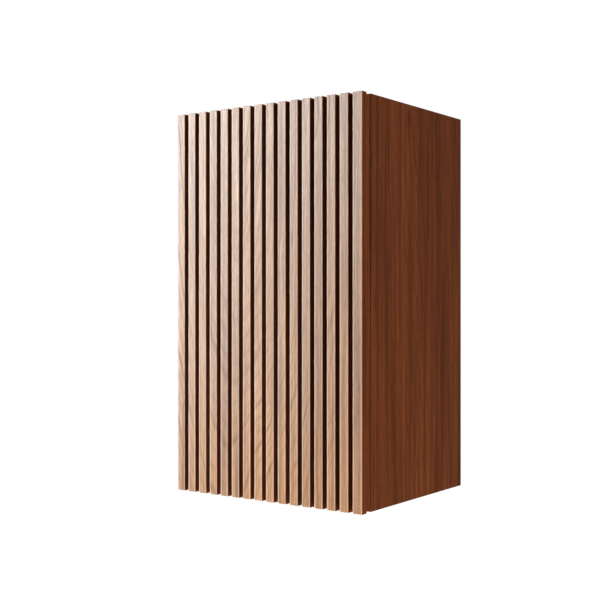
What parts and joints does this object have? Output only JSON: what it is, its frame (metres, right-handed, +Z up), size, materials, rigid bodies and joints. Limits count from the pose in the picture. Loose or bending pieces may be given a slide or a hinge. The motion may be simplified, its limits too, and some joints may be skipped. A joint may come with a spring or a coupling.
{
  "type": "hanging wall cabinet",
  "caption": "Narrow hanging wall cabinet with an upright-slatted front door, an adjustable shelf, concealed hangers and steel wall plates.",
  "frame": {"origin": "centre of the four wall fixing screws, on the wall's face", "axes": "+Z up, +Y into the wall, -Y out of the door's face, X along the width"},
  "size_m": [0.35, 0.3, 0.6],
  "materials": {
    "slat_veneer": "light walnut veneer, satin",
    "walnut_veneer": "dark red-brown walnut veneer, satin",
    "back_board": "printed hardboard back",
    "beech": "plain turned beech",
    "die_cast": "zinc die casting",
    "fastener_steel": "bright zinc plate",
    "hinge_steel": "nickel plate",
    "zinc_steel": "zinc-plated sheet",
    "magnet": "sintered ferrite",
    "brown_plastic": "moulded brown plastic",
    "rubber": "soft black rubber"
  },
  "bodies": {
    "carcass": {"back_panel": "back_board", "bottom_panel": "walnut_veneer", "cam_bolts": "fastener_steel", "cam_locks": "die_cast", "catch_housing": "brown_plastic", "catch_magnet": "magnet", "catch_poles": "zinc_steel", "catch_screws": "fastener_steel", "dowels": "beech", "hanger_adjusting_screws": "fastener_steel", "hanger_fixing_screws": "fastener_steel", "hinge_carcass_screws": "fastener_steel", "left_hanger_cover": "brown_plastic", "left_hanger_hook": "zinc_steel", "left_hanger_housing": "zinc_steel", "left_side_panel": "walnut_veneer", "left_wall_plate": "zinc_steel", "lower_hinge_carcass_leaf": "hinge_steel", "lower_hinge_pin": "hinge_steel", "right_hanger_cover": "brown_plastic", "right_hanger_hook": "zinc_steel", "right_hanger_housing": "zinc_steel", "right_side_panel": "walnut_veneer", "right_wall_plate": "zinc_steel", "shelf": "walnut_veneer", "shelf_pins": "fastener_steel", "top_panel": "walnut_veneer", "upper_hinge_carcass_leaf": "hinge_steel", "upper_hinge_pin": "hinge_steel"},
    "door": {"door_board": "walnut_veneer", "slat_01": "slat_veneer", "slat_02": "slat_veneer", "slat_03": "slat_veneer", "slat_04": "slat_veneer", "slat_05": "slat_veneer", "slat_06": "slat_veneer", "slat_07": "slat_veneer", "slat_08": "slat_veneer", "slat_09": "slat_veneer", "slat_10": "slat_veneer", "slat_11": "slat_veneer", "slat_12": "slat_veneer", "slat_13": "slat_veneer", "slat_14": "slat_veneer", "slat_15": "slat_veneer", "slat_16": "slat_veneer", "upper_hinge_door_leaf": "hinge_steel", "lower_hinge_door_leaf": "hinge_steel", "hinge_door_screws": "fastener_steel", "strike_plate": "zinc_steel", "strike_screws": "fastener_steel", "door_bumpers": "rubber"}
  },
  "joints": [
    {"name": "door_hinge", "type": "hinge", "parent": "carcass", "child": "door", "pos_m": [-0.1716, -0.2798, -0.2395], "axis": [0, 0, -1], "range_deg": [0, 110]}
  ]
}
